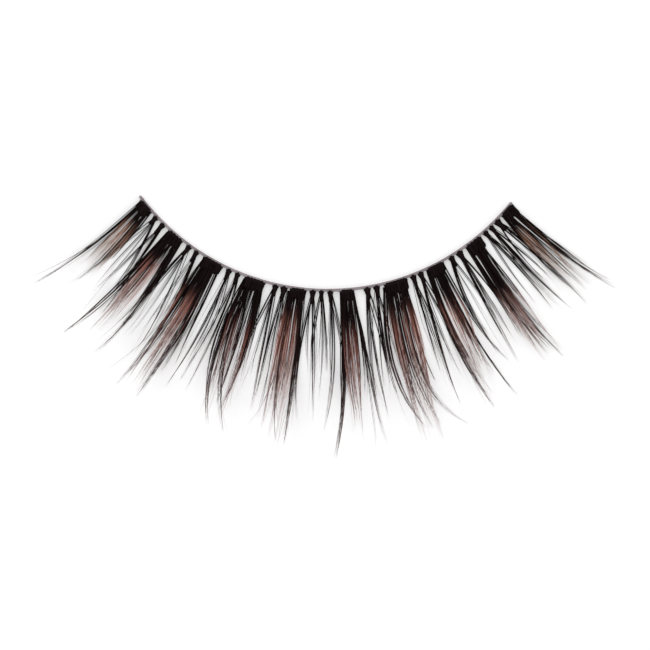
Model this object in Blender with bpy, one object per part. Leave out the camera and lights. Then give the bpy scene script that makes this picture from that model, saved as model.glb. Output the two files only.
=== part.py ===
"""A false eyelash strip, lying on a flat surface with its hair curling up.

A clear band curves like the edge of an eyelid. Ten thick clusters of black and brown fibre are
knotted on its outer side, with twenty thin black ones between them. Metres, +Z up. The strip runs
along X and its hair points to -Y. The origin is on the surface, in the middle of the footprint.
"""

import math
from collections import namedtuple

import bmesh
import bpy
from mathutils import Matrix, Vector

# Driving sizes
BAND_LENGTH = 0.033  # along its curve, end to end
BAND_RADIUS = 0.01807  # to the middle of its wall, seen from above
BAND_WALL = 0.00025
BAND_HEIGHT = 0.0005
SEAT_GAP = 0.0001  # between the band and every root
HAIR_REACH = 0.0122  # of the longest hair, seen from above, from the band's outer face
FLAT_RUN = 0.0042  # how far the hair lies on the surface before it curls
CURL_HEIGHT = 0.0042  # of the underside of the longest hair's tip
ROOT_DEPTH = 0.0008  # of a knotted root, outwards from the band
ROOT_HEIGHT = 0.0006
ROOT_BEVEL = 0.00008
FINE_ROOT_WIDTH = 0.00036
THIN_LOCK = 0.00019  # thickness of a thin lock at its root
TIP = 0.00008  # thickness of every lock at its tip

# Worked out from the driving sizes
HALF_SPAN = BAND_LENGTH / BAND_RADIUS / 2  # radians
OUTER_RADIUS = BAND_RADIUS + BAND_WALL / 2
INNER_RADIUS = BAND_RADIUS - BAND_WALL / 2
SEAT_RADIUS = OUTER_RADIUS + SEAT_GAP

# Shapes without a length
BAND_STEPS = 45
CURL_POWER = 1.9
FILL = 1.3  # how far thick locks swell past an even share of their root, so that they join
EDGE_INSET = 1.1  # of the outer locks from the root's sides, in half thicknesses
THICK_TAPER = 2.3
THIN_TAPER = 1.3
THICK_STEPS = 7
THICK_SIDES = 6
THIN_STEPS = 6
THIN_SIDES = 4

# A place along the band is a share of its half length, from -1 at the photo's left end to 1 at its
# right end. A reach is a share of HAIR_REACH.
Lock = namedtuple("Lock", "along reach")
Thick = namedtuple("Thick", "start end locks")
Thin = namedtuple("Thin", "along locks")

THICK_CLUSTERS = (
    Thick(-0.978, -0.906, (Lock(-0.969, 0.78), Lock(-0.940, 0.60), Lock(-0.915, 0.65),
          Lock(-0.893, 0.35))),
    Thick(-0.788, -0.706, (Lock(-0.803, 0.87), Lock(-0.768, 0.70), Lock(-0.738, 0.62),
          Lock(-0.706, 0.86), Lock(-0.690, 0.57))),
    Thick(-0.583, -0.488, (Lock(-0.598, 0.92), Lock(-0.565, 0.78), Lock(-0.535, 0.91),
          Lock(-0.506, 0.70), Lock(-0.480, 0.75))),
    Thick(-0.373, -0.277, (Lock(-0.361, 0.96), Lock(-0.340, 0.80), Lock(-0.319, 0.93),
          Lock(-0.298, 0.80), Lock(-0.277, 0.94))),
    Thick(-0.157, -0.084, (Lock(-0.164, 0.94), Lock(-0.143, 0.78), Lock(-0.111, 0.96),
          Lock(-0.092, 0.66))),
    Thick(0.073, 0.140, (Lock(0.040, 1.00), Lock(0.083, 0.66), Lock(0.110, 0.75),
          Lock(0.140, 0.70), Lock(0.178, 0.95))),
    Thick(0.281, 0.390, (Lock(0.296, 0.78), Lock(0.321, 0.91), Lock(0.348, 0.75),
          Lock(0.378, 0.82), Lock(0.419, 0.97))),
    Thick(0.489, 0.574, (Lock(0.491, 0.88), Lock(0.515, 0.72), Lock(0.540, 0.76),
          Lock(0.566, 0.90))),
    Thick(0.700, 0.784, (Lock(0.704, 0.88), Lock(0.725, 0.70), Lock(0.748, 0.81),
          Lock(0.775, 0.58))),
    Thick(0.920, 0.990, (Lock(0.900, 0.71), Lock(0.930, 0.56), Lock(0.958, 0.60),
          Lock(0.990, 0.77))),
)
THIN_CLUSTERS = (
    Thin(-0.872, (Lock(-0.880, 0.55), Lock(-0.862, 0.68), Lock(-0.846, 0.58))),
    Thin(-0.826, (Lock(-0.832, 0.66), Lock(-0.818, 0.74))),
    Thin(-0.668, (Lock(-0.676, 0.74), Lock(-0.658, 0.80), Lock(-0.645, 0.66))),
    Thin(-0.625, (Lock(-0.632, 0.72), Lock(-0.618, 0.62))),
    Thin(-0.453, (Lock(-0.464, 0.70), Lock(-0.447, 0.76), Lock(-0.430, 0.66))),
    Thin(-0.409, (Lock(-0.413, 0.73), Lock(-0.396, 0.80), Lock(-0.379, 0.68))),
    Thin(-0.226, (Lock(-0.250, 0.70), Lock(-0.230, 0.76), Lock(-0.214, 0.66))),
    Thin(-0.186, (Lock(-0.200, 0.78), Lock(-0.184, 0.62))),
    Thin(-0.052, (Lock(-0.085, 0.70), Lock(-0.068, 0.80), Lock(-0.050, 0.68))),
    Thin(-0.012, (Lock(-0.034, 0.74), Lock(-0.020, 0.80), Lock(-0.004, 0.66))),
    Thin(0.029, (Lock(0.010, 0.70), Lock(0.029, 0.62))),
    Thin(0.200, (Lock(0.205, 0.76), Lock(0.220, 0.70))),
    Thin(0.244, (Lock(0.238, 0.72), Lock(0.254, 0.78), Lock(0.272, 0.66))),
    Thin(0.420, (Lock(0.436, 0.70), Lock(0.450, 0.62))),
    Thin(0.457, (Lock(0.466, 0.74), Lock(0.478, 0.60))),
    Thin(0.617, (Lock(0.600, 0.70), Lock(0.616, 0.78), Lock(0.632, 0.68))),
    Thin(0.660, (Lock(0.650, 0.72), Lock(0.664, 0.78), Lock(0.680, 0.66))),
    Thin(0.812, (Lock(0.800, 0.66), Lock(0.814, 0.58))),
    Thin(0.848, (Lock(0.832, 0.62), Lock(0.846, 0.66))),
    Thin(0.887, (Lock(0.864, 0.64), Lock(0.880, 0.58))),
)


def clear_scene():
    for thing in list(bpy.data.objects):
        bpy.data.objects.remove(thing, do_unlink=True)


def principled(name, colour, roughness, transmission=0.0):
    material = bpy.data.materials.new(name)
    material.use_nodes = True
    shader = material.node_tree.nodes["Principled BSDF"]
    shader.inputs["Base Color"].default_value = (*colour, 1.0)
    shader.inputs["Roughness"].default_value = roughness
    shader.inputs["Metallic"].default_value = 0.0
    shader.inputs["Transmission Weight"].default_value = transmission
    return material


def on_plan(along, radius):
    """The point at a share of the band's half length and a distance from its curve's centre."""
    angle = along * HALF_SPAN
    return Vector((radius * math.sin(angle), -radius * math.cos(angle), 0.0))


def curl(distance):
    """How far the hair's underside stands above the surface, that far out from the band."""
    share = max(0.0, distance - FLAT_RUN) / (HAIR_REACH - FLAT_RUN)
    return CURL_HEIGHT * share**CURL_POWER


def as_mesh(curve):
    """Turns a curve object into a closed mesh object, its caps welded on."""
    graph = bpy.context.evaluated_depsgraph_get()
    mesh = bpy.data.meshes.new_from_object(curve.evaluated_get(graph))
    name = curve.name
    place = curve.matrix_world.copy()
    bpy.data.objects.remove(curve, do_unlink=True)
    solid = bpy.data.objects.new(name, mesh)
    solid.matrix_world = place
    shape = bmesh.new()
    shape.from_mesh(mesh)
    bmesh.ops.remove_doubles(shape, verts=shape.verts, dist=1e-7)
    bmesh.ops.recalc_face_normals(shape, faces=shape.faces)
    shape.to_mesh(mesh)
    shape.free()
    return solid


def band_solid(name, collection):
    """The band: its outline from above, extruded to its height."""
    curve = bpy.data.curves.new(name, "CURVE")
    curve.dimensions = "2D"
    curve.fill_mode = "BOTH"
    curve.extrude = BAND_HEIGHT / 2
    steps = [2 * step / BAND_STEPS - 1 for step in range(BAND_STEPS + 1)]
    outline = [on_plan(share, OUTER_RADIUS) for share in steps]
    outline += [on_plan(share, INNER_RADIUS) for share in reversed(steps)]
    spline = curve.splines.new("POLY")
    spline.points.add(len(outline) - 1)
    for point, place in zip(spline.points, outline):
        point.co = (*place, 1.0)
    spline.use_cyclic_u = True
    band = bpy.data.objects.new(name, curve)
    band.location.z = BAND_HEIGHT / 2
    collection.objects.link(band)
    bpy.context.view_layer.update()
    solid = as_mesh(band)
    collection.objects.link(solid)
    return solid


def root_solid(along, width, collection):
    """The knotted root of a cluster: a block with its edges taken off, seated on the band."""
    shape = bmesh.new()
    bmesh.ops.create_cube(shape, size=1.0)
    bmesh.ops.scale(shape, vec=(width, ROOT_DEPTH, ROOT_HEIGHT), verts=shape.verts)
    bmesh.ops.bevel(
        shape,
        geom=shape.edges[:],
        offset=ROOT_BEVEL,
        offset_type="OFFSET",
        segments=1,
        affect="EDGES",
    )
    place = on_plan(along, SEAT_RADIUS + ROOT_DEPTH / 2) + Vector((0, 0, ROOT_HEIGHT / 2))
    turn = Matrix.Rotation(along * HALF_SPAN, 4, "Z")
    shape.transform(Matrix.Translation(place) @ turn)
    mesh = bpy.data.meshes.new("root")
    shape.to_mesh(mesh)
    shape.free()
    solid = bpy.data.objects.new("root", mesh)
    collection.objects.link(solid)
    return solid


def lock_solid(root, lock, thickness, taper, steps, sides, collection):
    """A tapering lock from its root at the band to its tip, lying on the surface and curling up."""
    start = ROOT_DEPTH / 2
    reach = lock.reach * HAIR_REACH
    flat_side_down = math.pi / 2 - math.pi / sides
    underside = math.cos(math.pi / sides)
    curve = bpy.data.curves.new("lock", "CURVE")
    curve.dimensions = "3D"
    curve.twist_mode = "Z_UP"
    curve.bevel_depth = thickness / 2
    curve.bevel_resolution = (sides - 4) // 2
    curve.use_fill_caps = True
    spline = curve.splines.new("POLY")
    spline.points.add(steps)
    for step, point in enumerate(spline.points):
        share = step / steps
        distance = start + share * (reach - start)
        along = root + (lock.along - root) * distance / reach
        thick = TIP + (thickness - TIP) * (1 - share**taper)
        place = on_plan(along, SEAT_RADIUS + distance)
        place.z = curl(distance) + underside * thick / 2
        point.co = (*place, 1.0)
        point.radius = thick / thickness
        point.tilt = flat_side_down
    tube = bpy.data.objects.new("lock", curve)
    collection.objects.link(tube)
    bpy.context.view_layer.update()
    solid = as_mesh(tube)
    collection.objects.link(solid)
    return solid


def fused(name, root, locks, collection):
    """One body from a root and the locks that start in it."""
    helpers = bpy.data.collections.new(name + " locks")
    for lock in locks:
        helpers.objects.link(lock)
    union = root.modifiers.new("union", "BOOLEAN")
    union.operation = "UNION"
    union.solver = "EXACT"
    union.operand_type = "COLLECTION"
    union.collection = helpers
    bpy.context.view_layer.update()
    graph = bpy.context.evaluated_depsgraph_get()
    mesh = bpy.data.meshes.new_from_object(root.evaluated_get(graph))
    for helper in (root, *locks):
        bpy.data.objects.remove(helper, do_unlink=True)
    bpy.data.collections.remove(helpers)
    mesh.name = name
    solid = bpy.data.objects.new(name, mesh)
    collection.objects.link(solid)
    return solid


def thick_cluster(name, row, collection, scratch):
    """A brush-like cluster: thick locks side by side that join for most of their length."""
    middle = (row.start + row.end) / 2
    width = (row.end - row.start) * BAND_LENGTH / 2
    thickness = FILL * width / len(row.locks)
    edge = EDGE_INSET * thickness / BAND_LENGTH
    places = [
        row.start + edge + (row.end - row.start - 2 * edge) * order / (len(row.locks) - 1)
        for order in range(len(row.locks))
    ]
    locks = [
        lock_solid(place, lock, thickness, THICK_TAPER, THICK_STEPS, THICK_SIDES, scratch)
        for place, lock in zip(places, row.locks)
    ]
    root = root_solid(middle, width, scratch)
    return fused(name, root, locks, collection)


def thin_cluster(name, row, collection, scratch):
    """A thin tuft: single locks that fan out of one small knot."""
    locks = [
        lock_solid(row.along, lock, THIN_LOCK, THIN_TAPER, THIN_STEPS, THIN_SIDES, scratch)
        for lock in row.locks
    ]
    root = root_solid(row.along, FINE_ROOT_WIDTH, scratch)
    return fused(name, root, locks, collection)


def centre_footprint(solids):
    """Moves the strip so that the origin is on the surface, in the middle of its footprint."""
    corners = [vertex.co for solid in solids for vertex in solid.data.vertices]
    middle = [(min(c[axis] for c in corners) + max(c[axis] for c in corners)) / 2 for axis in (0, 1)]
    for solid in solids:
        solid.location.x -= middle[0]
        solid.location.y -= middle[1]


def main():
    clear_scene()
    strip = bpy.data.collections.new("false eyelash strip")
    scratch = bpy.data.collections.new("locks")
    for collection in (strip, scratch):
        bpy.context.scene.collection.children.link(collection)
    clear = principled("clear band", (0.86, 0.82, 0.83), 0.25, 0.6)
    brown = principled("black and brown fibre", (0.045, 0.018, 0.013), 0.45)
    black = principled("black fibre", (0.012, 0.009, 0.009), 0.4)

    solids = [band_solid("band", strip)]
    solids[0].data.materials.append(clear)
    for number, row in enumerate(THICK_CLUSTERS, 1):
        solids.append(thick_cluster(f"main_cluster_{number:02d}", row, strip, scratch))
        solids[-1].data.materials.append(brown)
    for number, row in enumerate(THIN_CLUSTERS, 1):
        solids.append(thin_cluster(f"fine_cluster_{number:02d}", row, strip, scratch))
        solids[-1].data.materials.append(black)
    bpy.data.collections.remove(scratch)
    centre_footprint(solids)


main()
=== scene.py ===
"""The looks of a false eyelash strip: its clear band, its knotted roots and its hair.

Metres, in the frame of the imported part: +X along the strip, -Y the way the hair points, +Z up, and
the strip lies on z = 0. A place along the band is a share of its half length, from -1 at the left
end to 1 at the right end. A reach is a share of the longest hair's.
"""

import logging
import math
from dataclasses import dataclass, field, replace
from enum import Enum
from typing import Any, ClassVar

import bpy
import numpy as np
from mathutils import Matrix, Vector


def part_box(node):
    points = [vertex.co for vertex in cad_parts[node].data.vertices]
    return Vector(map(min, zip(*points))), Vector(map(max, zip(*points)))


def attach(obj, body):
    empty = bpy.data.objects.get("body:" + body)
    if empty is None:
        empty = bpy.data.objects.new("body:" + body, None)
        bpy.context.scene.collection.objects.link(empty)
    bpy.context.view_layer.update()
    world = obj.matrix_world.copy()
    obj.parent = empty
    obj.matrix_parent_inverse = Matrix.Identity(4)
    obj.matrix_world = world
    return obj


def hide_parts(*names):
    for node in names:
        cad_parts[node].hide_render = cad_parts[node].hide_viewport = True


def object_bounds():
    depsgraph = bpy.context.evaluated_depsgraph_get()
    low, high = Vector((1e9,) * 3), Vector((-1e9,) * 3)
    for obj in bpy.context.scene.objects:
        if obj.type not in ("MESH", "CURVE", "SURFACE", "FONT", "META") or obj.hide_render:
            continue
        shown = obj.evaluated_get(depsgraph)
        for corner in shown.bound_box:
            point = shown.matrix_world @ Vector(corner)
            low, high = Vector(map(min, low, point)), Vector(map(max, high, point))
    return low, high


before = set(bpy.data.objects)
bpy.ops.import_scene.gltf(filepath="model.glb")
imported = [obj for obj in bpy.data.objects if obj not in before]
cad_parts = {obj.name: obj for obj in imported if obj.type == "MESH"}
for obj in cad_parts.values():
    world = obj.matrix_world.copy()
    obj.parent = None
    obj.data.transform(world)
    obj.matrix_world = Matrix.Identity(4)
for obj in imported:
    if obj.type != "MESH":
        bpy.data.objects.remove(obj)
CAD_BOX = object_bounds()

LOG = logging.getLogger("eyelash strip")
MM = 0.001
BAND_WALL = 0.25 * MM

Colour = tuple[float, float, float]
Point = tuple[float, float, float]
Pair = tuple[float, float]


class Slot(Enum):
    """The record's material slots."""

    BAND = "clear_band"
    MIXED = "brown_black_fibre"
    BLACK = "black_fibre"


class Shade(Enum):
    """The brown of a main cluster's core."""

    TAN = "tan"
    RED = "reddish brown"
    MAHOGANY = "mahogany"


# The colours of each shade: where the hair has turned brown, and its pale end.
BROWNS: dict[Shade, tuple[Colour, Colour]] = {
    Shade.TAN: ((0.60, 0.330, 0.235), (0.96, 0.83, 0.75)),
    Shade.RED: ((0.58, 0.242, 0.190), (0.94, 0.77, 0.73)),
    Shade.MAHOGANY: ((0.36, 0.118, 0.094), (0.80, 0.54, 0.50)),
}


@dataclass(frozen=True)
class Spike:
    """One pointed end of a cluster: where its tip is, and how many hairs run into it.

    Half way out it is at the place called middle. It heads for the place called knee and bends to
    its tip near the end. Without them it is straight.
    """

    along: float
    reach: float
    hairs: int
    middle: float | None = None
    knee: float | None = None


@dataclass(frozen=True)
class Core:
    """The brown hairs of a cluster.

    They start at the place called root, spread to width on each side and lean towards tip. They
    turn brown between turn_from and turn_to, as much as glow says, and end at about the reach
    called end.
    """

    root: float
    tip: float
    width: float
    turn_from: float
    turn_to: float
    end: float
    glow: float
    hairs: int


@dataclass(frozen=True)
class ThickPlan:
    """A brush-like cluster: its root from start to end, its brown core and its black spikes."""

    start: float
    end: float
    shade: Shade
    core: Core
    spikes: tuple[Spike, ...]


@dataclass(frozen=True)
class ThinPlan:
    """A thin tuft: its knot's place and the tips that its hairs fan out to."""

    along: float
    spikes: tuple[Spike, ...]


THICK_PLANS: tuple[ThickPlan, ...] = tuple(
    ThickPlan(start, end, shade, Core(*core), tuple(Spike(*spike) for spike in spikes))
    for start, end, shade, core, *spikes in (
        (-0.978, -0.906, Shade.TAN, (-0.940, -0.906, 0.028, 0.12, 0.21, 0.50, 1.00, 52),
         (-0.975, 0.82, 14, -0.962), (-0.930, 0.56, 5), (-0.905, 0.69, 8, -0.902),
         (-0.888, 0.46, 8, -0.898), (-0.874, 0.38, 11, -0.886)),
        (-0.788, -0.706, Shade.RED, (-0.752, -0.744, 0.030, 0.17, 0.26, 0.63, 1.00, 60),
         (-0.807, 0.88, 24, -0.784), (-0.782, 0.64, 6), (-0.746, 0.66, 5),
         (-0.716, 0.66, 9, -0.706), (-0.694, 0.72, 12, -0.696), (-0.703, 0.87, 20, -0.687)),
        (-0.583, -0.488, Shade.RED, (-0.550, -0.556, 0.030, 0.22, 0.32, 0.72, 1.00, 60),
         (-0.601, 0.92, 22, -0.580), (-0.580, 0.76, 8), (-0.556, 0.78, 6),
         (-0.537, 0.92, 24, -0.521), (-0.508, 0.74, 12, -0.506), (-0.484, 0.66, 8, -0.488)),
        (-0.373, -0.277, Shade.MAHOGANY, (-0.338, -0.318, 0.036, 0.22, 0.38, 0.74, 0.85, 56),
         (-0.321, 0.92, 22, -0.384), (-0.346, 0.80, 12, -0.374), (-0.272, 0.93, 18, -0.346),
         (-0.318, 0.80, 14, -0.318), (-0.300, 0.80, 20, -0.286), (-0.268, 0.62, 8, -0.270)),
        (-0.157, -0.084, Shade.RED, (-0.138, -0.148, 0.031, 0.13, 0.24, 0.80, 0.95, 64),
         (-0.246, 0.91, 4, -0.158, -0.190), (-0.170, 0.95, 7, -0.160), (-0.127, 0.92, 8, -0.153),
         (-0.132, 0.70, 6), (-0.107, 0.93, 34, -0.096), (-0.088, 0.64, 8, -0.086)),
        (0.073, 0.140, Shade.MAHOGANY, (0.108, 0.108, 0.027, 0.20, 0.34, 0.75, 0.95, 54),
         (0.037, 1.00, 30, 0.070, 0.054), (0.080, 0.66, 8), (0.098, 0.74, 9), (0.122, 0.76, 8),
         (0.142, 0.66, 10, 0.148), (0.178, 0.95, 13, 0.157)),
        (0.281, 0.390, Shade.RED, (0.328, 0.304, 0.048, 0.14, 0.30, 0.80, 0.85, 80),
         (0.296, 0.88, 20, 0.246), (0.290, 0.72, 14, 0.270), (0.318, 0.92, 16, 0.288),
         (0.343, 0.90, 12, 0.308), (0.424, 0.97, 9, 0.322, 0.352), (0.350, 0.76, 12, 0.338),
         (0.368, 0.66, 14, 0.362)),
        (0.489, 0.574, Shade.RED, (0.522, 0.514, 0.031, 0.19, 0.31, 0.67, 0.92, 54),
         (0.497, 0.91, 26, 0.478), (0.510, 0.76, 10, 0.494), (0.528, 0.66, 8),
         (0.547, 0.76, 12, 0.536), (0.571, 0.91, 16, 0.549), (0.586, 0.66, 8, 0.572)),
        (0.700, 0.784, Shade.RED, (0.734, 0.716, 0.030, 0.34, 0.46, 0.78, 0.95, 54),
         (0.676, 0.68, 10, 0.692), (0.684, 0.78, 14, 0.704), (0.712, 0.80, 22, 0.714),
         (0.741, 0.87, 28, 0.724), (0.748, 0.70, 18, 0.738), (0.764, 0.56, 8, 0.762)),
        (0.920, 0.990, Shade.TAN, (0.946, 0.934, 0.028, 0.12, 0.22, 0.53, 1.00, 52),
         (0.898, 0.60, 10, 0.908), (0.926, 0.68, 7, 0.934), (0.950, 0.66, 6),
         (0.992, 0.82, 15, 0.964), (0.984, 0.46, 8, 0.976), (1.004, 0.80, 8, 0.986)),
    )
)
THIN_PLANS: tuple[ThinPlan, ...] = tuple(
    ThinPlan(along, tuple(Spike(*spike) for spike in spikes))
    for along, *spikes in (
        (-0.872, (-0.884, 0.46, 5, -0.886), (-0.846, 0.56, 3), (-0.790, 0.62, 6, -0.806)),
        (-0.826, (-0.836, 0.60, 3), (-0.768, 0.66, 8, -0.788), (-0.790, 0.50, 4, -0.800)),
        (-0.668, (-0.690, 0.48, 7, -0.686), (-0.652, 0.66, 3, -0.650), (-0.611, 0.74, 8, -0.618)),
        (-0.625, (-0.634, 0.62, 3), (-0.595, 0.86, 10, -0.586), (-0.606, 0.50, 4, -0.602)),
        (-0.453, (-0.478, 0.82, 7, -0.456), (-0.452, 0.62, 6, -0.440), (-0.430, 0.54, 3, -0.428)),
        (-0.409, (-0.446, 0.72, 5, -0.430), (-0.420, 0.78, 7, -0.408), (-0.386, 0.42, 6, -0.390)),
        (-0.226, (-0.286, 0.50, 7, -0.268), (-0.240, 0.58, 3, -0.236), (-0.214, 0.78, 10, -0.219)),
        (-0.186, (-0.209, 0.68, 8, -0.205), (-0.188, 0.80, 4, -0.186), (-0.172, 0.42, 5, -0.174)),
        (-0.052, (-0.072, 0.80, 9, -0.088), (-0.054, 0.50, 3, -0.060), (-0.028, 0.80, 9, -0.034)),
        (-0.012, (-0.036, 0.50, 6, -0.038), (-0.014, 0.66, 4, 0.000), (0.014, 0.52, 5, 0.008)),
        (0.029, (0.004, 0.84, 11, 0.037), (0.030, 0.56, 3), (0.068, 0.46, 6, 0.061)),
        (0.200, (0.174, 0.72, 8, 0.174), (0.198, 0.80, 6, 0.190), (0.222, 0.60, 4, 0.222)),
        (0.244, (0.204, 0.62, 4, 0.214), (0.243, 0.72, 9, 0.228), (0.262, 0.50, 4, 0.258)),
        (0.420, (0.392, 0.62, 8, 0.400), (0.408, 0.80, 5, 0.412), (0.438, 0.56, 4, 0.436)),
        (0.457, (0.411, 0.82, 11, 0.422), (0.448, 0.68, 4, 0.448), (0.470, 0.50, 5, 0.474)),
        (0.617, (0.606, 0.74, 9, 0.578), (0.590, 0.54, 5, 0.586), (0.640, 0.52, 3, 0.636)),
        (0.660, (0.622, 0.76, 9, 0.638), (0.650, 0.66, 4, 0.656), (0.684, 0.48, 4, 0.684)),
        (0.812, (0.784, 0.54, 3, 0.790), (0.809, 0.64, 8, 0.822), (0.836, 0.50, 4, 0.834)),
        (0.848, (0.828, 0.62, 4, 0.832), (0.856, 0.72, 10, 0.845), (0.880, 0.50, 3, 0.874)),
        (0.887, (0.864, 0.50, 6, 0.860), (0.897, 0.74, 9, 0.906), (0.930, 0.44, 4, 0.922)),
    )
)


@dataclass(frozen=True)
class EyelidArc:
    """The arc of the band's outer face, seen from above."""

    centre_x: float
    centre_y: float
    radius: float
    half_span: float
    height: float

    @classmethod
    def from_band(cls, wall: float) -> "EyelidArc":
        """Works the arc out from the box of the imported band.

        Half the box's width is radius sin(span), and its depth is the outer arc's rise,
        radius (1 - cos(span)), and wall cos(span), because the ends are cut towards the centre.
        The rise depends on the span, so the two are worked out in turn, rounds times over.

        Args:
            wall: the band's thickness.

        Returns:
            The arc.
        """
        low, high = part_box("band")
        half_chord = (high[0] - low[0]) / 2
        depth = high[1] - low[1]
        rise, rounds = depth, 6
        for _ in range(rounds):
            radius = (half_chord**2 + rise**2) / (2 * rise)
            rise = depth - wall * (1 - rise / radius)
        span = math.asin(half_chord / radius)
        middle = (low[0] + high[0]) / 2
        return cls(middle, low[1] + radius, radius, span, high[2])

    def points(self, along: np.ndarray, distance: np.ndarray, height: np.ndarray) -> np.ndarray:
        """Places in space, from the place along the band, the distance out from it and the height.

        Args:
            along: share of the half length.
            distance: from the band's outer face, in metres.
            height: above the surface, in metres.

        Returns:
            An array with x, y and z last.
        """
        angle = along * self.half_span
        radius = self.radius + distance
        x = self.centre_x + radius * np.sin(angle)
        y = self.centre_y - radius * np.cos(angle)
        return np.stack(np.broadcast_arrays(x, y, height), axis=-1)

    def share(self, width: float) -> float:
        """A width on the band as a share of its half length."""
        return width / (self.radius * self.half_span)


@dataclass(frozen=True)
class Curl:
    """How the hair lies on the surface and then curls up.

    At a distance d from the band its underside stands at
    height * (max(0, d - flat) / (reach - flat)) ** power.
    """

    reach: float = 12.2 * MM
    flat: float = 4.2 * MM
    height: float = 4.2 * MM
    power: float = 1.9

    def rise(self, distance: np.ndarray) -> np.ndarray:
        """The underside's height at each distance from the band."""
        share = np.maximum(0.0, distance - self.flat) / (self.reach - self.flat)
        return self.height * share**self.power


def tube_faces(tubes: int, rings: int, sides: int, first: int) -> list[list[int]]:
    """Numbers the faces of closed tubes: the walls' quads, then the two ends of each.

    Args:
        tubes: how many tubes there are.
        rings: how many rings each has.
        sides: how many corners a ring has.
        first: the number of the first corner.

    Returns:
        A list of corner numbers for each face, all facing outwards.
    """
    number = first + np.arange(tubes * rings * sides).reshape(tubes, rings, sides)
    ahead = np.roll(number, -1, axis=2)
    walls = np.stack([number[:, :-1], number[:, 1:], ahead[:, 1:], ahead[:, :-1]], axis=-1)
    ends = np.concatenate([number[:, 0], number[:, -1, ::-1]])
    return walls.reshape(-1, 4).tolist() + ends.tolist()


def placed(name: str, data: bpy.types.ID) -> bpy.types.Object:
    """Makes an object and links it to the scene.

    Args:
        name: its name.
        data: its mesh, light or camera.

    Returns:
        The object.
    """
    made = bpy.data.objects.new(name, data)
    bpy.context.scene.collection.objects.link(made)
    return made


@dataclass(frozen=True)
class TubeSet:
    """Closed tubes along paths, worked out as whole arrays.

    Corner k of ring j of tube i is centre + wide cos(turn) side + tall sin(turn) up, where
    turn = 2 pi (k + 1/2) / sides, side is level and square to the path, and up is square to both.
    centre is tubes x rings x 3, and wide and tall are tubes x rings. look holds three numbers for
    each ring: how far along the hair it is, how brown it is, and the tube's own tone. In the UV
    map the tubes stand side by side between the heights map_from and map_to.
    """

    centre: np.ndarray
    wide: np.ndarray
    tall: np.ndarray
    look: np.ndarray
    sides: int
    map_from: float
    map_to: float

    def turns(self) -> np.ndarray:
        """The angle of each corner of a ring."""
        return 2 * np.pi * (np.arange(self.sides) + 0.5) / self.sides

    def corners(self) -> np.ndarray:
        """Works the corners out from the paths.

        Returns:
            An array of tubes x rings x sides x 3.
        """
        path = np.gradient(self.centre, axis=1)
        path /= np.linalg.norm(path, axis=2, keepdims=True)
        side = np.cross(path, np.array([0.0, 0.0, 1.0]))
        side /= np.linalg.norm(side, axis=2, keepdims=True)
        up = np.cross(side, path)
        turn = self.turns()[:, None]
        sideways = np.cos(turn) * (self.wide[:, :, None] * side)[:, :, None]
        upwards = np.sin(turn) * (self.tall[:, :, None] * up)[:, :, None]
        return self.centre[:, :, None] + sideways + upwards

    def chart(self) -> np.ndarray:
        """Lays the tubes out in the UV map: a column for each, with the way along it upwards.

        The walls leave a gutter free on both sides of their column and a margin above and below,
        where the two ends lie as small flat ovals.

        Returns:
            UV places in the order of the faces' corners.
        """
        tubes, rings = self.wide.shape
        gutter, margin = 0.06, 0.03
        oval_place, oval_width, oval_height = 0.013, 0.4, 0.012
        across = (np.arange(self.sides + 1) / self.sides * (1 - 2 * gutter) + gutter)[None, :]
        u = (np.arange(tubes)[:, None] + across) / tubes
        room = self.map_to - self.map_from
        v = self.map_from + room * (margin + (1 - 2 * margin) * np.arange(rings) / (rings - 1))
        left, right = u[:, None, :-1], u[:, None, 1:]
        low, high = v[None, :-1, None], v[None, 1:, None]
        corners = ((left, low), (left, high), (right, high), (right, low))
        walls = np.stack([np.stack(np.broadcast_arrays(*each), -1) for each in corners], -2)
        oval_u = (np.arange(tubes)[:, None] + 0.5 + oval_width * np.cos(self.turns())) / tubes
        oval_v = oval_height * room * np.sin(self.turns())[None, :] + np.zeros((tubes, 1))
        near = np.stack([oval_u, self.map_from + oval_place * room + oval_v], axis=-1)
        far = np.stack([oval_u, self.map_to - oval_place * room + oval_v], axis=-1)[:, ::-1]
        return np.concatenate([part.reshape(-1, 2) for part in (walls, near, far)])

    def looks(self) -> np.ndarray:
        """The look of each corner."""
        return np.repeat(self.look[:, :, None], self.sides, axis=2).reshape(-1, 3)


def mesh_object(name: str, sets: list[TubeSet]) -> bpy.types.Object:
    """Makes one smooth object of several sets of tubes, with their map and their looks.

    Args:
        name: the piece's name.
        sets: the tubes.

    Returns:
        The object, linked to the scene, at the origin.
    """
    corners = [tubes.corners().reshape(-1, 3) for tubes in sets]
    starts = np.cumsum([0] + [len(each) for each in corners])
    faces = []
    for tubes, start in zip(sets, starts):
        faces += tube_faces(*tubes.wide.shape, tubes.sides, int(start))
    mesh = bpy.data.meshes.new(name)
    mesh.from_pydata(np.concatenate(corners).tolist(), [], faces)
    chart = mesh.uv_layers.new(name="OFBake")
    places = np.concatenate([tubes.chart() for tubes in sets])
    chart.uv.foreach_set("vector", places.astype(np.float32).ravel())
    look = mesh.attributes.new("look", "FLOAT_VECTOR", "POINT")
    looks = np.concatenate([tubes.looks() for tubes in sets])
    look.data.foreach_set("vector", looks.astype(np.float32).ravel())
    mesh.shade_smooth()
    mesh.update()
    return placed(name, mesh)


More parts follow.
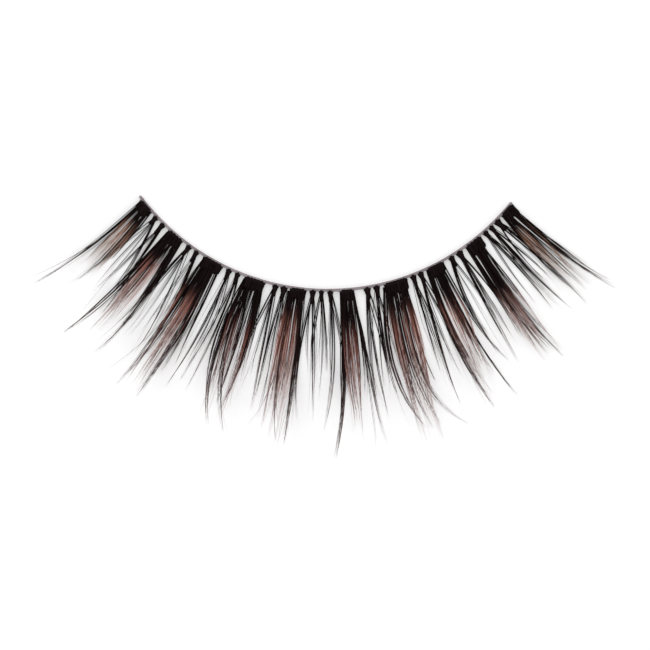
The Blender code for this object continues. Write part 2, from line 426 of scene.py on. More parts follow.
class Number:
    """A socket that carries a number. Arithmetic on it adds Math nodes."""

    def __init__(self, tree: "Tree", socket: bpy.types.NodeSocket) -> None:
        """Wraps a socket of a tree."""
        self.tree = tree
        self.socket = socket

    def _maths(
        self, operation: str, first: "Number | float", second: "Number | float"
    ) -> "Number":
        """Adds one Math node.

        Args:
            operation: what the node does.
            first: a number or a Number.
            second: a number or a Number.

        Returns:
            What comes out of the node.
        """
        node = self.tree.node("ShaderNodeMath", {"operation": operation}, {0: first, 1: second})
        return Number(self.tree, node.outputs[0])

    def __add__(self, other: "Number | float") -> "Number":
        """The sum."""
        return self._maths("ADD", self, other)

    def __rsub__(self, other: "Number | float") -> "Number":
        """The difference, with the number first."""
        return self._maths("SUBTRACT", other, self)

    def __mul__(self, other: "Number | float") -> "Number":
        """The product."""
        return self._maths("MULTIPLY", self, other)

    __radd__ = __add__
    __rmul__ = __mul__

    def between(self, low: float, high: float) -> "Number":
        """Turns the number into a smooth step.

        Args:
            low: where the step starts, at 0.
            high: where it ends, at 1.

        Returns:
            The step.
        """
        node = self.tree.node(
            "ShaderNodeMapRange",
            {"interpolation_type": "SMOOTHSTEP"},
            {"Value": self, "From Min": low, "From Max": high},
        )
        return Number(self.tree, node.outputs["Result"])


class Tree:
    """The node tree of a new material, which ends in one Principled shader."""

    def __init__(self, name: str) -> None:
        """Makes the material and finds its shader.

        Args:
            name: the material's name.
        """
        self.material = bpy.data.materials.new(name)
        self.material.use_nodes = True
        self.nodes = self.material.node_tree.nodes
        self.links = self.material.node_tree.links
        self.shader = self.nodes["Principled BSDF"]

    def node(self, kind: str, settings: dict[str, Any], inputs: dict[Any, Any]) -> bpy.types.Node:
        """Adds a node.

        Args:
            kind: the node's type.
            settings: its own properties, which are set first.
            inputs: a value or a link for each socket, by name or number.

        Returns:
            The node.
        """
        made = self.nodes.new(kind)
        for name, value in settings.items():
            setattr(made, name, value)
        self.feed(made, inputs)
        return made

    def feed(self, node: bpy.types.Node, inputs: dict[Any, Any]) -> None:
        """Sets or links sockets of a node.

        Args:
            node: the node.
            inputs: a value or a link for each socket, by name or number.
        """
        for name, value in inputs.items():
            if isinstance(value, Number):
                self.links.new(value.socket, node.inputs[name])
            elif isinstance(value, bpy.types.NodeSocket):
                self.links.new(value, node.inputs[name])
            else:
                node.inputs[name].default_value = value

    def mix(
        self,
        factor: Number | float,
        first: Colour | bpy.types.NodeSocket,
        second: Colour | bpy.types.NodeSocket,
    ) -> bpy.types.NodeSocket:
        """Mixes two colours.

        Args:
            factor: a number or a Number, from 0 to 1.
            first: the colour at 0, as three numbers or a socket.
            second: the colour at 1.

        Returns:
            The mixed colour's socket.
        """
        sides = [(*side, 1.0) if isinstance(side, tuple) else side for side in (first, second)]
        made = self.node(
            "ShaderNodeMix", {"data_type": "RGBA"}, {0: factor, 6: sides[0], 7: sides[1]}
        )
        return made.outputs[2]

    def noise(self, scale: float, detail: float) -> Number:
        """Adds noise on Object coordinates.

        Args:
            scale: how fine it is, in cells to the metre.
            detail: how many finer layers it has.

        Returns:
            A number from 0 to 1.
        """
        place = self.node("ShaderNodeTexCoord", {}, {}).outputs["Object"]
        made = self.node(
            "ShaderNodeTexNoise", {}, {"Vector": place, "Scale": scale, "Detail": detail}
        )
        return Number(self, made.outputs["Fac"])

    def bump(self, height: Number, strength: float, distance: float) -> bpy.types.NodeSocket:
        """Turns a height into a normal.

        Args:
            height: from 0 to 1.
            strength: how much of the bump shows.
            distance: how high it is, in metres.

        Returns:
            The normal's socket.
        """
        made = self.node(
            "ShaderNodeBump", {}, {"Height": height, "Strength": strength, "Distance": distance}
        )
        return made.outputs["Normal"]


@dataclass(frozen=True)
class FibreFinish:
    """Fine synthetic hair: black, or turning brown along its length and paler at its end.

    A range is where along the hair, or at what tone or blotch, a change starts and where it is
    complete. A scale is in cells to the metre.
    """

    name: str
    brown: Colour
    pale: Colour
    black: Colour = (0.0075, 0.0024, 0.0028)
    end: Colour = (0.210, 0.140, 0.136)
    roughness: float = 0.42
    tone_roughness: float = 0.14
    blotch_roughness: float = 0.08
    specular: float = 0.09
    pale_range: Pair = (0.35, 0.95)
    least_pale: float = 0.4
    grey_range: Pair = (0.55, 1.0)
    least_grey: float = 0.3
    dim_range: Pair = (0.45, 0.95)
    dimming: float = 0.65
    blotch_range: Pair = (0.45, 0.7)
    blotching: float = 0.2
    blotch_scale: float = 900.0
    grain_scale: float = 16000.0
    grain_strength: float = 0.25
    grain_height: float = 0.01 * MM

    def build(self) -> bpy.types.Material:
        """Makes the material, which reads the hairs' own look.

        A brown hair gets paler along its length. Hairs of a low tone, and blotches, are darker.
        A black hair gets a little greyer at its end.

        Returns:
            The material.
        """
        tree = Tree(self.name)
        look = tree.node("ShaderNodeAttribute", {"attribute_name": "look"}, {})
        parts = tree.node("ShaderNodeSeparateXYZ", {}, {0: look.outputs["Vector"]})
        along, brown, tone = (Number(tree, socket) for socket in parts.outputs)
        blotch = tree.noise(self.blotch_scale, detail=2.0)
        pale = along.between(*self.pale_range) * (self.least_pale + (1 - self.least_pale) * tone)
        dim = self.dimming * (1.0 - tone).between(*self.dim_range)
        shade = dim + self.blotching * blotch.between(*self.blotch_range)
        warm = tree.mix(shade, tree.mix(pale, self.brown, self.pale), self.black)
        grey = along.between(*self.grey_range) * (self.least_grey + (1 - self.least_grey) * tone)
        dark = tree.mix(grey, self.black, self.end)
        uneven = self.tone_roughness * tone + self.blotch_roughness * blotch
        grain = tree.noise(self.grain_scale, detail=1.0)
        tree.feed(
            tree.shader,
            {
                "Base Color": tree.mix(brown, dark, warm),
                "Roughness": self.roughness + uneven,
                "Normal": tree.bump(grain, self.grain_strength, self.grain_height),
                "Specular IOR Level": self.specular,
            },
        )
        return tree.material


@dataclass(frozen=True)
class FilmFinish:
    """The band's clear film, with a faint mauve cast and a little haze."""

    name: str = "clear film"
    clear: Colour = (0.44, 0.37, 0.395)
    haze: Colour = (0.58, 0.51, 0.535)
    haze_range: Pair = (0.35, 0.7)
    haze_scale: float = 700.0
    roughness: float = 0.16
    haze_roughness: float = 0.22
    transmission: float = 0.5
    ior: float = 1.46
    grain_scale: float = 5200.0
    grain_strength: float = 0.3
    grain_height: float = 0.02 * MM

    def build(self) -> bpy.types.Material:
        """Makes the material, clear with drifts of haze and a finely uneven surface.

        Returns:
            The material.
        """
        tree = Tree(self.name)
        cloud = tree.noise(self.haze_scale, detail=3.0)
        grain = tree.noise(self.grain_scale, detail=2.0)
        tree.feed(
            tree.shader,
            {
                "Base Color": tree.mix(cloud.between(*self.haze_range), self.clear, self.haze),
                "Roughness": self.roughness + self.haze_roughness * cloud,
                "Normal": tree.bump(grain, self.grain_strength, self.grain_height),
                "Transmission Weight": self.transmission,
                "IOR": self.ior,
            },
        )
        return tree.material


@dataclass(frozen=True)
class FloorFinish:
    """A plain pale light table with a barely seen unevenness."""

    name: str = "pale floor"
    light: Colour = (0.93, 0.93, 0.93)
    dark: Colour = (0.90, 0.90, 0.905)
    glow: float = 0.36
    scale: float = 30.0
    roughness: float = 0.75
    uneven_roughness: float = 0.1
    specular: float = 0.2

    def build(self) -> bpy.types.Material:
        """Makes the material, which glows in its own colour.

        Returns:
            The material.
        """
        tree = Tree(self.name)
        cloud = tree.noise(self.scale, detail=2.0)
        colour = tree.mix(cloud, self.light, self.dark)
        tree.feed(
            tree.shader,
            {
                "Base Color": colour,
                "Roughness": self.roughness + self.uneven_roughness * cloud,
                "Specular IOR Level": self.specular,
                "Emission Color": colour,
                "Emission Strength": self.glow,
            },
        )
        return tree.material


@dataclass
class BandFilm:
    """The clear band: a thin upright strip with rounded edges that follows the arc.

    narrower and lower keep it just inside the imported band's section. ripple_turns are the radians
    that the two ripples of its wall run through, and ripple_shift sets the second one off.
    """

    arc: EyelidArc
    wall: float = BAND_WALL
    steps: int = 260
    corners: int = 14
    round_end: float = 0.14 * MM
    closed: float = 0.995
    ripple: float = 0.05
    ripple_turns: Pair = (61.0, 23.0)
    ripple_shift: float = 1.3
    squareness: float = 5.0
    crowding: float = 0.35
    narrower: float = 0.92
    lower: float = 0.98

    def build(self, material: bpy.types.Material) -> bpy.types.Object:
        """Makes the strip.

        Its section is a superellipse, |x|^n + |z|^n = 1 with n the squareness, scaled to just
        inside the wall and the height. Carried along the arc, it shrinks as sqrt(1 - t^2) over the
        last round_end of each end, where t runs up to closed at the tip, and its wall ripples as
        two sines of different lengths. The steps crowd a little at both ends.

        Args:
            material: the film's finish.

        Returns:
            The piece.
        """
        middle = self.arc.radius - self.wall / 2
        length = 2 * middle * self.arc.half_span
        even = np.arange(self.steps) / (self.steps - 1)
        crowded = 0.5 - 0.5 * np.cos(np.pi * even)
        stations = self.crowding * crowded + (1 - self.crowding) * even
        to_end = np.minimum(stations, 1 - stations) * length
        into = 1 - np.clip(to_end / self.round_end, 0.0, 1.0)
        scale = np.sqrt(1 - (self.closed * into) ** 2)
        turn = 2 * np.pi * np.arange(self.corners) / self.corners
        bend = 2 / self.squareness
        wide = np.sign(np.cos(turn)) * np.abs(np.cos(turn)) ** bend
        tall = np.sign(np.sin(turn)) * np.abs(np.sin(turn)) ** bend
        short, long = self.ripple_turns
        sines = np.sin(stations * short) + np.sin(stations * long + self.ripple_shift)
        wave = 1 + self.ripple * sines / 2
        along = (2 * stations - 1)[:, None]
        across = (scale * wave)[:, None] * wide * self.wall / 2 * self.narrower
        height = self.arc.height / 2 * (1 + scale[:, None] * tall * self.lower)
        corners = self.arc.points(along, across - self.wall / 2, height).reshape(-1, 3)
        mesh = bpy.data.meshes.new("band_film")
        faces = tube_faces(1, self.steps, self.corners, 0)
        mesh.from_pydata(corners.tolist(), [], faces)
        mesh.shade_smooth()
        mesh.update()
        piece = placed("band_film", mesh)
        mesh.materials.append(material)
        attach(piece, "root")
        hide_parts("band")
        return piece


@dataclass
class Hairs:
    """A bundle of hairs, with one entry of each array for each hair.

    root, middle, knee, tip, offset, bow, stray and wave are shares of the band's half length. aim,
    reach, stack and width are in metres, and phase is in radians. lift scales the curl. brown is
    how brown a hair turns between the reaches turn_from and turn_to, tone sets it off from its
    neighbours, and gather is 1 where the bundle ends in a point.
    """

    BELLY: ClassVar[float] = 0.25
    DRAW_POWER: ClassVar[float] = 1.7
    HOOK_POWER: ClassVar[int] = 5
    RIPPLES: ClassVar[float] = 9.0
    SETTLING: ClassVar[float] = 0.85
    THINNING: ClassVar[float] = 0.88
    TAPER_POWER: ClassVar[float] = 1.5

    root: np.ndarray
    middle: np.ndarray
    knee: np.ndarray
    tip: np.ndarray
    aim: np.ndarray
    reach: np.ndarray
    offset: np.ndarray
    stack: np.ndarray
    width: np.ndarray
    bow: np.ndarray
    stray: np.ndarray
    wave: np.ndarray
    phase: np.ndarray
    lift: np.ndarray
    brown: np.ndarray
    tone: np.ndarray
    gather: float
    turn_from: float = 0.3
    turn_to: float = 0.9

    def tubes(self, arc: EyelidArc, curl: Curl, rings: int, start: float) -> TubeSet:
        """The hairs as tubes.

        At a distance d from the band, with v = d / aim, a hair is along the band at
        root (1 - v) (1 - 2 v) + 4 middle v (1 - v) + knee v (2 v - 1) + (tip - knee) v^5
        + offset E(v) + stray v^2 + bow sin(pi v) + wave v sin(9 v + phase). The first three terms
        are the parabola through root, middle and knee, and E(v) = (1 + 0.25 sin(pi v))
        (1 - gather v^1.7) draws the bundle together. It stands at curl(d) lift
        + stack (1 - 0.85 v^1.7) + its radius, which falls as 1 - 0.88 u^1.5 to its end at u = 1.

        Args:
            arc: the band's arc.
            curl: how the hair curls up.
            rings: how many rings a tube has.
            start: how far from the band the tubes start.

        Returns:
            The tubes.
        """
        own = (np.arange(rings) / (rings - 1))[None, :]
        distance = start + own * (self.reach[:, None] - start)
        share = np.clip(distance / self.aim[:, None], 0.0, 1.0)
        drawn = share**self.DRAW_POWER
        envelope = (1 + self.BELLY * np.sin(np.pi * share)) * (1 - self.gather * drawn)
        along = self.root[:, None] * (1 - share) * (1 - 2 * share)
        along = along + 4 * self.middle[:, None] * share * (1 - share)
        along = along + self.knee[:, None] * share * (2 * share - 1)
        along = along + (self.tip - self.knee)[:, None] * share**self.HOOK_POWER
        along = along + self.offset[:, None] * envelope + self.stray[:, None] * share**2
        along = along + self.bow[:, None] * np.sin(np.pi * share)
        ripple = np.sin(self.RIPPLES * share + self.phase[:, None])
        along = along + self.wave[:, None] * share * ripple
        radius = self.width[:, None] / 2 * (1 - self.THINNING * own**self.TAPER_POWER)
        stack = self.stack[:, None] * (1 - self.SETTLING * drawn)
        height = curl.rise(distance) * self.lift[:, None] + stack + radius
        centre = arc.points(along, distance, height)
        turning = (distance / curl.reach - self.turn_from) / (self.turn_to - self.turn_from)
        turned = self.brown[:, None] * np.clip(turning, 0.0, 1.0)
        look = np.stack(np.broadcast_arrays(own, turned, self.tone[:, None]), axis=-1)
        return TubeSet(centre, radius, radius, look, sides=4, map_from=0.08, map_to=1.0)


def joined(sets: list[TubeSet]) -> TubeSet:
    """Joins sets of like tubes, so that they share one stretch of the UV map.

    Args:
        sets: the sets, all with the same number of rings and sides.

    Returns:
        One set.
    """
    parts = ("centre", "wide", "tall", "look")
    arrays = {name: np.concatenate([getattr(each, name) for each in sets]) for name in parts}
    return replace(sets[0], **arrays)


@dataclass(frozen=True)
class Habit:
    """How much the hairs of a bundle differ from each other, and how they draw together.

    loose is how far a hair of a wisp strays from its place in the root, as a share of the root's
    half width. bow, stray and wave hold the spread from wisp to wisp and the one within a wisp,
    as shares of the band's half length, and phase does so in radians. widths and lifts are the
    least and the most, and so is phase for single hairs. gather is 1 where the bundle ends in a
    point.
    """

    loose: float
    bow: Pair
    stray: Pair
    wave: Pair
    widths: Pair
    lifts: Pair
    gather: float
    phase: Pair = (3.0, 0.3)


SPIKE_HABIT = Habit(
    loose=0.12, bow=(0.0028, 0.001), stray=(0.0025, 0.001), wave=(0.0022, 0.0008),
    widths=(0.75, 1.2), lifts=(0.9, 1.1), gather=1.0,
)
CORE_HABIT = Habit(
    loose=0.10, bow=(0.004, 0.001), stray=(0.006, 0.001), wave=(0.002, 0.0006),
    widths=(0.75, 1.2), lifts=(0.95, 1.15), gather=0.3,
)
FAN_HABIT = Habit(
    loose=0.08, bow=(0.0016, 0.0005), stray=(0.0018, 0.0006), wave=(0.0013, 0.0004),
    widths=(0.7, 1.15), lifts=(0.85, 1.2), gather=0.9,
)
SINGLE_HABIT = Habit(
    loose=1.0, bow=(0.0, 0.003), stray=(0.0, 0.006), wave=(0.0, 0.002),
    widths=(0.8, 1.2), lifts=(0.8, 1.25), gather=0.9, phase=(0.0, 6.0),
)


@dataclass(frozen=True)
class KnotForm:
    """A wound knot, flattened like a stem, that flares where it grips the band.

    stem and flare are half its width away from the band and at it, and depth is how far it
    reaches out. fillet and closing are shares of the depth, and middle is a share of the band's
    height.
    """

    stem: float
    flare: float
    depth: float
    rings: int = 16
    sides: int = 10
    fillet: float = 0.75
    fillet_power: float = 1.7
    closing: float = 0.25
    closed: float = 0.97
    ripple: float = 0.05
    windings: float = 5.5
    unevenness: float = 0.08
    middle: float = 0.53


@dataclass
class HairCluster:
    """What thick clusters and thin tufts share: their knots, and how their hair is finished.

    start and seat are how far from the band's outer face the hairs and the knots begin. wisp is
    how many hairs cling together. past_view is how much further the hairs of a spike reach than
    can be seen, because they end so thin. shortening is how much shorter than that a hair can be,
    and endings shapes how often it is. warmth is how brown a black hair can be.
    """

    arc: EyelidArc
    curl: Curl
    node: str
    seed: int
    rings: int = 12
    start: float = 0.15 * MM
    seat: float = -0.13 * MM
    past_view: float = 1.04
    wisp: int = 4
    shortening: float = 0.45
    endings: Pair = (0.9, 2.6)
    middle_play: float = 0.002
    knee_play: float = 0.003
    warmth: float = 0.45
    random: np.random.Generator = field(init=False)

    def __post_init__(self) -> None:
        """Seeds this cluster's own random numbers."""
        self.random = np.random.default_rng(self.seed)

    def scatter(self, total: int, shared: float, own: float) -> np.ndarray:
        """Random numbers about 0 that neighbours in a wisp have nearly alike.

        Args:
            total: how many hairs there are.
            shared: the spread from wisp to wisp.
            own: the spread within a wisp.

        Returns:
            A number for each hair.
        """
        wisps = self.random.normal(0, shared, total // self.wisp + 1)
        return np.repeat(wisps, self.wisp)[:total] + self.random.normal(0, own, total)

    def spread(self, total: int, own: float, wisp: int | None = None) -> np.ndarray:
        """Random numbers from about -1 to 1 that neighbours in a wisp have nearly alike.

        Args:
            total: how many hairs there are.
            own: the spread within a wisp.
            wisp: how many hairs cling together, if not as many as elsewhere.

        Returns:
            A number for each hair.
        """
        wisp = wisp or self.wisp
        wisps = self.random.uniform(-1, 1, total // wisp + 1)
        return np.repeat(wisps, wisp)[:total] + self.random.normal(0, own, total)

    def courses(self, spikes: tuple[Spike, ...], feet: np.ndarray) -> dict[str, np.ndarray]:
        """Sends the hairs of each spike from its foot to its point.

        A spike without a middle is half way between its foot and its tip there, and one without a
        knee heads for its tip, each with a little play.

        Args:
            spikes: the spikes.
            feet: the place of each spike's foot.

        Returns:
            Some of the fields of Hairs, by name.
        """
        which = np.repeat(np.arange(len(spikes)), [spike.hairs for spike in spikes])
        tips = np.array([spike.along for spike in spikes])
        reaches = np.array([spike.reach for spike in spikes])
        middles = (feet + tips) / 2 + self.random.normal(0, self.middle_play, len(spikes))
        knees = tips + self.random.normal(0, self.knee_play, len(spikes))
        for number, spike in enumerate(spikes):
            if spike.middle is not None:
                middles[number] = spike.middle
            if spike.knee is not None:
                knees[number] = spike.knee
        aim = reaches[which] * self.curl.reach * self.past_view
        shorter = self.shortening * self.random.beta(*self.endings, len(which))
        return {
            "root": feet[which],
            "middle": middles[which],
            "knee": knees[which],
            "tip": tips[which],
            "aim": aim,
            "reach": aim * (1 - shorter),
        }

    def manners(self, habit: Habit, width: float, total: int) -> dict[str, np.ndarray]:
        """Gives each hair its own width and bends.

        Args:
            habit: how much the hairs differ.
            width: their usual width.
            total: how many hairs there are.

        Returns:
            Some of the fields of Hairs, by name.
        """
        return {
            "width": width * self.random.uniform(*habit.widths, total),
            "bow": self.scatter(total, *habit.bow),
            "stray": self.scatter(total, *habit.stray),
            "wave": self.scatter(total, *habit.wave),
            "phase": self.scatter(total, *habit.phase),
            "lift": self.random.uniform(*habit.lifts, total),
        }

    def laid(self, hairs: Hairs) -> TubeSet:
        """The hairs as tubes along this cluster's band."""
        return hairs.tubes(self.arc, self.curl, self.rings, self.start)

    def knots(self, places: np.ndarray, form: KnotForm) -> TubeSet:
        """The wound knots.

        With u from 0 at the band to 1 outwards, the half width is
        stem + (flare - stem) t^fillet_power with t = max(0, 1 - u / fillet). It ripples, so that
        the windings show, and closes as sqrt(1 - s^2) over the last stretch, called closing, where
        s runs up to closed.

        Args:
            places: where they are along the band.
            form: their form.

        Returns:
            The tubes.
        """
        own = np.arange(form.rings) / (form.rings - 1)
        towards_band = np.clip(1 - own / form.fillet, 0.0, 1.0) ** form.fillet_power
        towards_end = np.clip((own - (1 - form.closing)) / form.closing, 0.0, form.closed)
        close = np.sqrt(1 - towards_end**2)
        winding = 1 + form.ripple * np.sin(2 * np.pi * form.windings * own)
        one_each = (len(places), 1)
        sizes = 1 + form.unevenness * self.random.standard_normal(one_each)
        wide = sizes * (form.stem + (form.flare - form.stem) * towards_band) * close * winding
        tall = np.broadcast_to(self.arc.height / 2 * close * winding, wide.shape)
        deep = form.depth * (1 + form.unevenness * self.random.standard_normal(one_each))
        height = np.full(wide.shape, self.arc.height * form.middle)
        centre = self.arc.points(places[:, None], self.seat + own * deep, height)
        tone = self.random.random(one_each)
        look = np.stack(np.broadcast_arrays(0 * wide, 0 * wide, tone), axis=-1)
        return TubeSet(centre, wide, tall, look, form.sides, map_from=0.0, map_to=0.07)

    def finish_piece(
        self, sets: list[TubeSet], material: bpy.types.Material, slot: Slot
    ) -> bpy.types.Object:
        """Makes the piece that stands for this cluster's node.

        Args:
            sets: its hairs and its knots.
            material: its finish.
            slot: the record's slot, which is not used.

        Returns:
            The piece.
        """
        piece = mesh_object(self.node + "_hair", sets)
        piece.data.materials.append(material)
        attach(piece, "root")
        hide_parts(self.node)
        return piece


@dataclass
class ThickCluster(HairCluster):
    """A brush-like cluster with black spikes about a brown core.

    root_spread is how much of its part of the root each bundle takes. Of the black hairs,
    top_share lie on top of the core, under_core keeps the others low there, and wild_share stray
    by wild_spread. The ends of the core differ by core_ends from wisp to wisp and within one, and
    its tones by tone_play within tone_wisp hairs. Its stacks and glows are the least and the most.
    """

    plan: ThickPlan = THICK_PLANS[0]
    black_width: float = 0.080 * MM
    brown_width: float = 0.07 * MM
    stack: float = 0.42 * MM
    knot: KnotForm = KnotForm(stem=0.25 * MM, flare=0.36 * MM, depth=0.95 * MM)
    knot_pitch: float = 0.40 * MM
    root_spread: float = 0.60
    top_share: float = 0.16
    top_stack: float = 1.15
    under_core: float = 0.65
    wild_share: float = 0.10
    wild_spread: float = 0.02
    core_ends: Pair = (0.13, 0.06)
    core_stacks: Pair = (0.45, 1.1)
    core_glows: Pair = (0.55, 1.05)
    tone_wisp: int = 3
    tone_play: float = 0.25

    def spikes(self) -> TubeSet:
        """The black hairs, each bundle drawn to its spike's point.

        Returns:
            The tubes.
        """
        plan, random = self.plan, self.random
        total = sum(spike.hairs for spike in plan.spikes)
        part = (plan.end - plan.start) / len(plan.spikes)
        feet = plan.start + part * (np.arange(len(plan.spikes)) + 0.5)
        offset = part * self.root_spread * self.spread(total, SPIKE_HABIT.loose)
        on_top = random.random(total) < self.top_share
        is_wild = random.random(total) < self.wild_share
        wild = np.where(is_wild, random.normal(0, self.wild_spread, total), 0.0)
        courses = self.courses(plan.spikes, feet)
        off_core = (courses["root"] + offset - plan.core.root) / plan.core.width
        room = 1 - self.under_core * np.exp(-(off_core**2))
        hairs = Hairs(
            **courses,
            offset=offset,
            stack=self.stack * np.where(on_top, self.top_stack, random.random(total) * room),
            **self.manners(SPIKE_HABIT, self.black_width, total),
            brown=self.warmth * random.random(total) ** 2,
            tone=random.random(total),
            gather=SPIKE_HABIT.gather,
        )
        hairs.stray += wild
        return self.laid(hairs)

    def core(self) -> TubeSet:
        """The brown hairs, which are shorter and stay side by side.

        Returns:
            The tubes.
        """
        core, random = self.plan.core, self.random
        total = core.hairs
        aim = np.full(total, core.end * self.curl.reach)
        return self.laid(Hairs(
            root=np.full(total, core.root),
            middle=np.full(total, (core.root + core.tip) / 2),
            knee=np.full(total, core.tip),
            tip=np.full(total, core.tip),
            aim=aim,
            reach=aim * (1.0 + self.scatter(total, *self.core_ends)),
            offset=core.width * self.spread(total, CORE_HABIT.loose),
            stack=self.stack * random.uniform(*self.core_stacks, total),
            **self.manners(CORE_HABIT, self.brown_width, total),
            brown=core.glow * random.uniform(*self.core_glows, total),
            tone=np.clip((1 + self.spread(total, self.tone_play, self.tone_wisp)) / 2, 0.0, 1.0),
            gather=CORE_HABIT.gather,
            turn_from=core.turn_from,
            turn_to=core.turn_to,
        ))

    def build(self, material: bpy.types.Material) -> bpy.types.Object:
        """Makes the cluster's hairs and knots.

        Args:
            material: the finish of its fibre.

        Returns:
            The piece.
        """
        plan = self.plan
        inset = self.arc.share(self.knot.stem)
        count = 1 + round((plan.end - plan.start) / self.arc.share(self.knot_pitch))
        knots = self.knots(np.linspace(plan.start + inset, plan.end - inset, count), self.knot)
        hairs = joined([self.spikes(), self.core()])
        return self.finish_piece([hairs, knots], material, Slot.MIXED)


@dataclass
class ThinCluster(HairCluster):
    """A thin tuft whose hairs fan out of one knot and cross those of its neighbours.

    singles is how many finer hairs it has besides. Its stacks, in millimetres, and its reaches are
    the least and the most.
    """

    plan: ThinPlan = THIN_PLANS[0]
    width: float = 0.084 * MM
    wisp: int = 2
    shortening: float = 0.35
    knot: KnotForm = KnotForm(stem=0.15 * MM, flare=0.33 * MM, depth=1.05 * MM)
    root_spread: float = 0.7
    stacks: Pair = (0.0, 0.3)
    singles: int = 2
    single_width: float = 0.6
    single_reaches: Pair = (0.5, 0.8)
    single_stacks: Pair = (0.1, 0.35)
    single_warmth: float = 0.6

    def fan(self) -> TubeSet:
        """The hairs that gather in the tuft's points.

        Returns:
            The tubes.
        """
        plan, random = self.plan, self.random
        total = sum(spike.hairs for spike in plan.spikes)
        half_root = self.arc.share(self.knot.stem) * self.root_spread
        return self.laid(Hairs(
            **self.courses(plan.spikes, np.full(len(plan.spikes), plan.along)),
            offset=half_root * self.spread(total, FAN_HABIT.loose),
            stack=random.uniform(*self.stacks, total) * MM,
            **self.manners(FAN_HABIT, self.width, total),
            brown=self.warmth * random.random(total) ** 2,
            tone=random.random(total),
            gather=FAN_HABIT.gather,
        ))

    def strays(self) -> TubeSet:
        """The single hairs, finer and more curved than the rest.

        Returns:
            The tubes.
        """
        plan, random, total, habit = self.plan, self.random, self.singles, SINGLE_HABIT
        ends = random.uniform(plan.spikes[0].along, plan.spikes[-1].along, total)
        aim = random.uniform(*self.single_reaches, total) * self.curl.reach
        return self.laid(Hairs(
            root=np.full(total, plan.along),
            middle=(plan.along + 2 * ends) / 3 + random.normal(*habit.stray, total),
            knee=ends + random.normal(*habit.stray, total),
            tip=ends,
            aim=aim,
            reach=aim,
            offset=self.arc.share(self.knot.stem) * habit.loose * random.uniform(-1, 1, total),
            stack=random.uniform(*self.single_stacks, total) * MM,
            width=self.single_width * self.width * random.uniform(*habit.widths, total),
            bow=random.normal(*habit.bow, total),
            stray=random.normal(*habit.stray, total),
            wave=random.normal(*habit.wave, total),
            phase=random.uniform(*habit.phase, total),
            lift=random.uniform(*habit.lifts, total),
            brown=self.single_warmth * random.random(total) ** 2,
            tone=random.random(total),
            gather=habit.gather,
        ))

    def build(self, material: bpy.types.Material) -> bpy.types.Object:
        """Makes the tuft's hairs and knot.

        Args:
            material: the finish of its fibre.

        Returns:
            The piece.
        """
        knot = self.knots(np.array([self.plan.along]), self.knot)
        hairs = joined([self.fan(), self.strays()])
        return self.finish_piece([hairs, knot], material, Slot.BLACK)


@dataclass(frozen=True)
class Lamp:
    """A square soft lamp: its place, the length of its side and its power in watts."""

    name: str
    place: Point
    size: float
    power: float


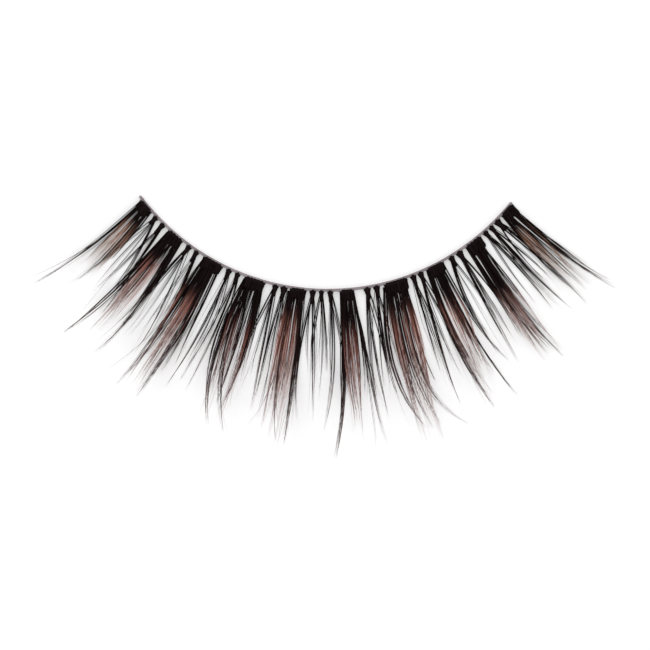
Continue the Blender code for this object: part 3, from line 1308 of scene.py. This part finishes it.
@dataclass
class Studio:
    """The plain pale floor, the soft light and the camera.

    The view starts at nearest, a share of the camera's distance, and ends at farthest. daylight is
    the strength of the white world.
    """

    floor_size: float = 3.0
    floor_drop: float = 0.02 * MM
    view_width: float = 50 * MM
    lens: float = 135.0
    sensor: float = 36.0
    nearest: float = 0.02
    farthest: float = 20.0
    roll: float = math.radians(1.0)
    daylight: float = 0.50
    lamps: tuple[Lamp, ...] = (
        Lamp("key", (-0.20, 0.24, 0.6), 0.7, 1.4),
        Lamp("fill", (0.30, -0.18, 0.5), 0.7, 0.7),
    )

    def floor(self, material: bpy.types.Material) -> None:
        """Makes the floor, just under the strip.

        Args:
            material: its finish.
        """
        half = self.floor_size / 2
        corners = [(-half, -half), (half, -half), (half, half), (-half, half)]
        mesh = bpy.data.meshes.new("floor")
        mesh.from_pydata([(x, y, -self.floor_drop) for x, y in corners], [], [(0, 1, 2, 3)])
        mesh.materials.append(material)
        floor = placed("floor", mesh)

    def hang(self, plan: Lamp) -> None:
        """Makes one lamp, which points at the strip.

        Args:
            plan: what it is like.
        """
        light = bpy.data.lights.new(plan.name, "AREA")
        light.size = plan.size
        light.energy = plan.power
        lamp = placed(plan.name, light)
        lamp.location = plan.place
        lamp.rotation_euler = (-Vector(plan.place)).to_track_quat("-Z", "Y").to_euler()

    def light(self) -> None:
        """Lights the scene evenly, a little more from the upper left."""
        world = bpy.data.worlds.new("studio")
        world.use_nodes = True
        background = world.node_tree.nodes["Background"]
        background.inputs["Color"].default_value = (1.0, 1.0, 1.0, 1.0)
        background.inputs["Strength"].default_value = self.daylight
        bpy.context.scene.world = world
        for lamp in self.lamps:
            self.hang(lamp)

    def camera(self) -> None:
        """Looks straight down on the strip, as the photograph does."""
        distance = self.view_width * self.lens / self.sensor
        data = bpy.data.cameras.new("camera")
        data.lens = self.lens
        data.sensor_width = self.sensor
        data.clip_start = distance * self.nearest
        data.clip_end = self.farthest
        camera = placed("camera", data)
        low, high = CAD_BOX
        camera.location = ((low[0] + high[0]) / 2, (low[1] + high[1]) / 2, distance)
        camera.rotation_euler = (0.0, 0.0, self.roll)
        bpy.context.scene.camera = camera


@dataclass
class EyelashStrip:
    """The whole strip: the band and its thirty clusters."""

    arc: EyelidArc
    curl: Curl
    fibres: dict[Shade, FibreFinish]
    dark_fibre: FibreFinish
    film: FilmFinish = FilmFinish()
    seed: int = 41
    thin_seed: int = 141

    def build(self) -> list[bpy.types.Object]:
        """Makes every piece: the band, the main clusters and the fine ones.

        Returns:
            The pieces.
        """
        pieces = [BandFilm(self.arc).build(self.film.build())]
        mixed = {shade: finish.build() for shade, finish in self.fibres.items()}
        black = self.dark_fibre.build()
        for number, plan in enumerate(THICK_PLANS, 1):
            node = f"main_cluster_{number:02d}"
            cluster = ThickCluster(self.arc, self.curl, node, self.seed + number, plan=plan)
            pieces.append(cluster.build(mixed[plan.shade]))
        for number, plan in enumerate(THIN_PLANS, 1):
            node = f"fine_cluster_{number:02d}"
            tuft = ThinCluster(self.arc, self.curl, node, self.thin_seed + number, plan=plan)
            pieces.append(tuft.build(black))
        return pieces


def main() -> None:
    """Builds the strip and the studio round it, and reports each piece."""
    logging.basicConfig(level=logging.INFO, format="%(message)s")
    bpy.context.scene.view_settings.view_transform = "Standard"
    studio = Studio()
    studio.camera()
    studio.light()
    studio.floor(FloorFinish().build())
    strip = EyelashStrip(
        arc=EyelidArc.from_band(BAND_WALL),
        curl=Curl(),
        fibres={
            shade: FibreFinish(f"{shade.value} and black fibre", *browns)
            for shade, browns in BROWNS.items()
        },
        dark_fibre=FibreFinish("black fibre", *BROWNS[Shade.RED]),
    )
    for piece in strip.build():
        LOG.info("%s: %d faces", piece.name, len(piece.data.polygons))


if __name__ == "__main__":
    main()
